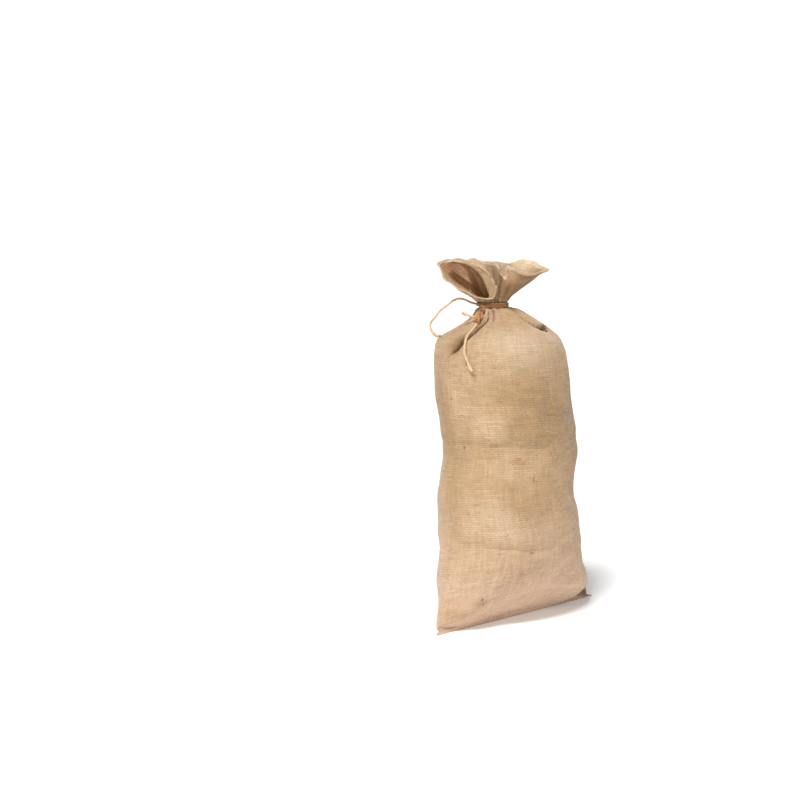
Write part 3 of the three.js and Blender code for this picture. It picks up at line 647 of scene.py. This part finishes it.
def twine_tube(line, thickness=1.0):
    """Points, faces and corner places of three-ply twine along a line, and that line with even steps.

    The section has three lobes, which turn along the way.
    """
    sides = 18
    line = evenly(line, np.linspace(0, along(line)[-1], max(4, round(along(line)[-1] / 0.9))))
    far = along(line)
    heading = np.gradient(line, axis=0)
    heading /= np.linalg.norm(heading, axis=1)[:, None]
    side = np.cross(heading[0], [0.3, 0.2, 1])
    points = []
    for k, (place, ahead) in enumerate(zip(line, heading)):
        side = side - ahead * (side @ ahead)
        side /= np.linalg.norm(side)
        other = np.cross(ahead, side)
        angle = np.arange(sides) / sides * 2 * math.pi
        lobes = 0.84 + 0.2 * np.abs(np.cos(1.5 * (angle - far[k] / PLY_TURN * 2 * math.pi)))
        size = thickness(far[k], far[-1]) if callable(thickness) else thickness
        radius = TWINE / 2 * size * lobes
        sideways, upwards = np.cos(angle) * radius, np.sin(angle) * radius
        points.append(place + np.outer(sideways, side) + np.outer(upwards, other))
    faces, uvs = [], []
    for r in range(len(line) - 1):
        for k in range(sides):
            a, b = r * sides + k, r * sides + (k + 1) % sides
            faces.append((a, b, b + sides, a + sides))
            uvs += [(k, far[r]), (k + 1, far[r]), (k + 1, far[r + 1]), (k, far[r + 1])]
    faces += [tuple(range(sides))[::-1], tuple((len(line) - 1) * sides + k for k in range(sides))]
    uvs += [(k, far[0]) for k in range(sides)] + [(k, far[-1]) for k in range(sides)]
    return np.concatenate(points), faces, uvs, line


def round_the_neck(turns):
    """Points from angles round the neck's axis, in degrees, reaches from it, and heights."""
    angle, reach, height = np.array(turns, float).T
    angle = np.radians(angle)
    return np.stack([NECK[0] + reach * np.cos(angle), NECK[1] + reach * np.sin(angle), height], axis=1)


turns = []
for angle in range(-150, 511, 12):
    climb = np.clip((angle - 100) / 100, 0, 1)
    turns.append((angle, TURN_RADIUS, LOWER_TURN + TURN_PITCH * climb * climb * (3 - 2 * climb)))
wrap_line = smooth_line(round_the_neck(STRAND_IN + turns + STRAND_OUT), 1)
tie_wrap = make_mesh("tie_turns", *twine_tube(wrap_line)[:3])


def twisted_jute(name, pale, warm):
    """Twisted jute yarn, hairy, with pale and warmer streaks about 1 mm wide and 6 mm long along its way."""
    material = bpy.data.materials.new(name)
    material.use_nodes = True
    tree = material.node_tree
    surface = tree.nodes["Principled BSDF"]
    surface.inputs["Roughness"].default_value = 0.85
    surface.inputs["Specular IOR Level"].default_value = 0.25
    surface.inputs["Sheen Weight"].default_value = 0.3
    place = (add(tree, "ShaderNodeUVMap", {"uv_map": "cloth"}), 0)
    drawn = add(tree, "ShaderNodeVectorMath", {"operation": "MULTIPLY"}, {0: place, 1: (1, 0.25, 1)})
    streaks = add(tree, "ShaderNodeTexNoise", {}, {"Vector": (drawn, 0), "Scale": 700.0, "Detail": 3.0})
    tone = add(tree, "ShaderNodeMix", {"data_type": "RGBA"}, {0: (streaks, 0), 6: srgb(warm), 7: srgb(pale)})
    tree.links.new(tone.outputs[2], surface.inputs["Base Color"])
    bump = add(tree, "ShaderNodeBump", {}, {"Strength": 0.4, "Distance": 0.0004, "Height": (streaks, 0)})
    tree.links.new(bump.outputs[0], surface.inputs["Normal"])
    return material


# Darker than the free ends: painted shade, as the turns lie under the overhang of the ruffle.
tie_wrap.data.materials.append(twisted_jute("twisted_jute_tie", "#b98552", "#7c4b28"))
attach(tie_wrap, "root")
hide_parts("tie_wrap")

# ---------------------------------------------------------------------------------------------------------
# The knot: the two ends of the winding crossed and pulled tight, a lump longer than wide that lies down the
# slope of the shoulder.
# ---------------------------------------------------------------------------------------------------------
KNOT_MIDDLE, KNOT_DOWN, KNOT_OUT = (-68.5, 18, 482.8), (-0.667, -0.37, -0.65), (-0.6, 0, 0.8)
KNOT_HALF = (9.6, 4.6, 3.4)  # of the line that the twine follows: along, across and through
down = np.array(KNOT_DOWN) / np.linalg.norm(KNOT_DOWN)
knot_side = np.cross(KNOT_OUT, down)
knot_side /= np.linalg.norm(knot_side)
knot_out = np.cross(down, knot_side)
loops = []
for t in np.linspace(0, 2 * math.pi, 90):  # an overhand loop, closed on itself inside the knot
    x, y, z = math.sin(t) + 2 * math.sin(2 * t), math.cos(t) - 2 * math.cos(2 * t), -math.sin(3 * t)
    loops.append(np.array(KNOT_MIDDLE) + down * x / 3 * KNOT_HALF[0] + knot_side * y / 3 * KNOT_HALF[1]
                 + knot_out * z * KNOT_HALF[2])
tie_knot = make_mesh("tie_knot_loops", *twine_tube(np.array(loops), 1.15)[:3])
# Browner than the free ends, paler than the turns.
tie_knot.data.materials.append(twisted_jute("twisted_jute_knot", "#dba568", "#a05e2e"))
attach(tie_knot, "root")
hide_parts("tie_knot")

# ---------------------------------------------------------------------------------------------------------
# The free ends of the twine: a short stub out of the knot, an end that hangs down the shoulder, and a long
# end that arches over the left shoulder. Their cut ends open into a small brush of fibres.
# ---------------------------------------------------------------------------------------------------------
SHORT_END = [(-71, 24.9, 483.7), (-74.2, 30.2, 485.2), (-77.4, 34.8, 487), (-80.4, 39.4, 488.6)]
HANGING_END = [
    (-76.8, 13.9, 474.2), (-82.4, 12.8, 469), (-87.8, 12.4, 465), (-93.2, 11.4, 461.6), (-99.2, 10, 458.2),
    (-105.8, 6.8, 453.6), (-111.4, 3.2, 447.2), (-115.2, 0.6, 440.4), (-117.3, -1.4, 433),
    (-117.6, -4.2, 426.4), (-117, -7, 420), (-116.2, -9.8, 414), (-115.2, -12.4, 409), (-114, -14.9, 404.4),
]
LONG_END = [
    (-31.7, 61.4, 501.3), (-35.6, 62.7, 502.2), (-41, 65, 504), (-47, 68.8, 507.4), (-51.4, 72, 509.2),
    (-56.1, 75.4, 509.8), (-60.8, 78.2, 508.6), (-65.3, 80.5, 506.2), (-70, 82.4, 502.8),
    (-74.5, 84.2, 499.2), (-79.4, 86.4, 495.8), (-84.1, 88.5, 492), (-88.2, 90, 487.4), (-91.8, 91.2, 482.4),
    (-95.8, 92.8, 478), (-99.4, 94, 473.8), (-101.4, 93.8, 467.6), (-100.9, 91.8, 461), (-98.8, 89, 455.6),
    (-95.4, 85.6, 452), (-92.2, 82.2, 451.8),
]


def loosening(frayed, stout):
    """How thick the twine is along its way: it opens out at its end, and is narrow just before that."""
    def thickness(far, whole):
        left = whole - far
        opened = 0.42 * math.exp(-((left - frayed / 2) / frayed * 1.8) ** 2)
        waist = 0.3 * math.exp(-((left - frayed * 1.5) / 2.5) ** 2)
        return stout + opened - waist
    return thickness


clean_jute = twisted_jute("twisted_jute_twine", "#f1dfbc", "#d0a06c")
free_ends = []
# frayed is the length of the end that opens out, stout the thickness of the rest as a share of TWINE
for name, route, node, frayed, stout in (("tie_end_short", SHORT_END, "tie_short_end", 4, 1.28),
                                         ("tie_end_hanging", HANGING_END, "tie_hanging_end", 10, 1.15),
                                         ("tie_end_long", LONG_END, "tie_long_end", 15, 1.1)):
    points, faces, uvs, line = twine_tube(smooth_line(route, 1), loosening(frayed, stout))
    piece = make_mesh(name, points, faces, uvs)
    piece.data.materials.append(clean_jute)
    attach(piece, "root")
    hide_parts(node)
    free_ends.append(line)

# ---------------------------------------------------------------------------------------------------------
# The loose fibres: jute sheds. Single hairs stand off the cloth, the cut edge of the mouth is frayed, the
# twine is hairy and its cut ends open into a brush. All of them are one mesh.
# ---------------------------------------------------------------------------------------------------------
hair_rng = np.random.default_rng(23)
HAIRS_ON_CLOTH, FIBRES_IN_BRUSH = 1900, 34
# The kinds of hair: shortest, longest, curl and radius.
ON_CLOTH, FRINGE, DRAWN_THREAD = (2.5, 7.5, 0.35, 0.17), (2, 5.5, 0.3, 0.22), (7, 12, 0.45, 0.24)
ON_TWINE, BRUSH = (1.6, 4.5, 0.4, 0.14), (2.5, 6.5, 0.3, 0.26)


def hairs(roots, headings, kind):
    """Points and faces of curved hairs, one from each root: three-sided, tapering to the tip."""
    shortest, longest, curl, radius = kind
    count = len(roots)
    lengths = hair_rng.uniform(shortest, longest, count)[:, None]
    headings = headings / np.linalg.norm(headings, axis=1, keepdims=True)
    bend = hair_rng.normal(size=(count, 3)) * curl
    side = np.cross(headings, bend + [0.01, 0.02, 0.03])
    side /= np.linalg.norm(side, axis=1, keepdims=True)
    other = np.cross(headings, side)
    points = []
    for step, size in ((-0.05, 1), (0.35, 1), (0.7, 0.8), (1, 0.3)):
        centre = roots + lengths * (headings * step + bend * step * step)
        for corner in range(3):
            angle = corner * 2 * math.pi / 3
            points.append(centre + radius * size * (math.cos(angle) * side + math.sin(angle) * other))
    points = np.stack(points, axis=1).reshape(-1, 3)
    faces = []
    for k in range(count):
        for ring in range(3):
            for corner in range(3):
                a, b = k * 12 + ring * 3 + corner, k * 12 + ring * 3 + (corner + 1) % 3
                faces.append((a, b, b + 3, a + 3))
        faces.append((k * 12 + 11, k * 12 + 9, k * 12 + 10))
    return points, faces


def scattered(count, spread):
    """Random directions to add to a heading."""
    return hair_rng.normal(size=(count, 3)) * spread


grown = []
spots = [(hair_rng.integers(6, rows - 1), hair_rng.integers(COLUMNS)) for _ in range(HAIRS_ON_CLOTH)]
spot_rows, spot_columns = np.array(spots).T
stand = outward(cloth)[spot_rows, spot_columns]
grown.append(hairs(cloth[spot_rows, spot_columns], stand * 0.5 + scattered(HAIRS_ON_CLOTH, 0.45), ON_CLOTH))

edge_way = cloth[-1] - cloth[-3]
edge_way /= np.linalg.norm(edge_way, axis=1, keepdims=True)
for count, spread, kind in ((400, 0.4, FRINGE), (20, 0.6, DRAWN_THREAD)):
    on_edge = hair_rng.integers(0, COLUMNS, count)
    grown.append(hairs(lip[on_edge], edge_way[on_edge] + scattered(count, spread), kind))

for line in [wrap_line] + free_ends:
    picks = hair_rng.integers(2, len(line) - 1, round(along(line)[-1] * 1.1))  # about one each millimetre
    away = scattered(len(picks), 1)
    away /= np.linalg.norm(away, axis=1, keepdims=True)
    grown.append(hairs(line[picks] + away * TWINE * 0.4, away + scattered(len(picks), 0.5), ON_TWINE))

for line in free_ends:
    tip_way = line[-1] - line[-4]
    tip_way /= np.linalg.norm(tip_way)
    starts = np.tile(line[-2], (FIBRES_IN_BRUSH, 1)) + scattered(FIBRES_IN_BRUSH, 0.7)
    grown.append(hairs(starts, tip_way + scattered(FIBRES_IN_BRUSH, 0.3), BRUSH))

hair_points, hair_faces, first = [], [], 0
for points, faces in grown:
    hair_points.append(points)
    hair_faces += [tuple(corner + first for corner in face) for face in faces]
    first += len(points)
hair_points = np.concatenate(hair_points)
hair_points[:, 2] = np.maximum(hair_points[:, 2], 0.2)
fibres = make_mesh("loose_fibres", hair_points, hair_faces)

loose = bpy.data.materials.new("loose_jute_fibres")  # single pale jute hairs
loose.use_nodes = True
hair_surface = loose.node_tree.nodes["Principled BSDF"]
hair_surface.inputs["Base Color"].default_value = srgb("#d9bb92")
hair_surface.inputs["Roughness"].default_value = 0.7
fibres.data.materials.append(loose)
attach(fibres, "root")

# ---------------------------------------------------------------------------------------------------------
# The setting: a plain white floor, soft daylight from high on the left, and a camera at 46 degrees to the
# front panel, about 2.3 m away.
# ---------------------------------------------------------------------------------------------------------
FLOOR_RADIUS, COVE_RADIUS, SPOKES = 7.0, 2.6, 72  # metres: the floor runs up into a low cove all round
profile = [(FLOOR_RADIUS + COVE_RADIUS * math.sin(t), COVE_RADIUS * (1 - math.cos(t)))
           for t in np.linspace(0, math.radians(85), 14)]
spokes = [(math.cos(t), math.sin(t)) for t in np.arange(SPOKES) / SPOKES * 2 * math.pi]
cove_points = [(x * radius, y * radius, height) for radius, height in profile for x, y in spokes]
cove_faces = [tuple(range(SPOKES))]
for ring in range(len(profile) - 1):
    for k in range(SPOKES):
        a, b = ring * SPOKES + k, ring * SPOKES + (k + 1) % SPOKES
        cove_faces.append((a, a + SPOKES, b + SPOKES, b))
floor_mesh = bpy.data.meshes.new("floor")
floor_mesh.from_pydata(cove_points, [], cove_faces)
floor_mesh.shade_smooth()
floor = bpy.data.objects.new("floor", floor_mesh)
bpy.context.scene.collection.objects.link(floor)
paper = bpy.data.materials.new("white_floor")  # matt white, with a faint glow that keeps the shadow light
paper.use_nodes = True
floor_surface = paper.node_tree.nodes["Principled BSDF"]
floor_surface.inputs["Base Color"].default_value = (0.95, 0.95, 0.95, 1)
floor_surface.inputs["Roughness"].default_value = 0.9
floor_surface.inputs["Emission Color"].default_value = (1, 1, 1, 1)
floor_surface.inputs["Emission Strength"].default_value = 0.22
floor.data.materials.append(paper)

world = bpy.data.worlds.new("daylight")
world.use_nodes = True
sky = world.node_tree.nodes["Background"]
sky.inputs["Color"].default_value = (1, 0.985, 0.96, 1)
sky.inputs["Strength"].default_value = 0.14
bpy.context.scene.world = world


def window(name, azimuth, height, strength, spread):
    """Soft light from a direction: azimuth as the camera's, height above the horizon, spread, in degrees."""
    lamp = bpy.data.lights.new(name, "SUN")
    lamp.energy, lamp.angle = strength, math.radians(spread)
    light = bpy.data.objects.new(name, lamp)
    across_sky, up_sky = math.radians(azimuth), math.radians(height)
    place = Vector((math.sin(across_sky) * math.cos(up_sky), -math.cos(across_sky) * math.cos(up_sky),
                    math.sin(up_sky)))
    light.rotation_euler = (-place).to_track_quat("-Z", "Y").to_euler()
    bpy.context.scene.collection.objects.link(light)


window("window", -66, 59, 3.15, 13)

VIEW_ANGLE, VIEW_FAR, EYE = math.radians(-46), 2300, 640
LOOKS_AT = (-129.6, 134.2, 347.6)
LENS = 65.25  # mm, for a 36 mm wide frame
eye = (np.array([VIEW_FAR * math.sin(VIEW_ANGLE), -VIEW_FAR * math.cos(VIEW_ANGLE), EYE]) - MIDDLE) * MM
camera = bpy.data.objects.new("camera", bpy.data.cameras.new("camera"))
camera.data.lens, camera.data.sensor_width = LENS, 36
camera.data.clip_end = 100
camera.location = eye
aim = Vector((np.array(LOOKS_AT) - MIDDLE) * MM)
camera.rotation_euler = (aim - camera.location).to_track_quat("-Z", "Y").to_euler()
bpy.context.scene.collection.objects.link(camera)
bpy.context.scene.camera = camera
bpy.context.scene.view_settings.view_transform = "Standard"
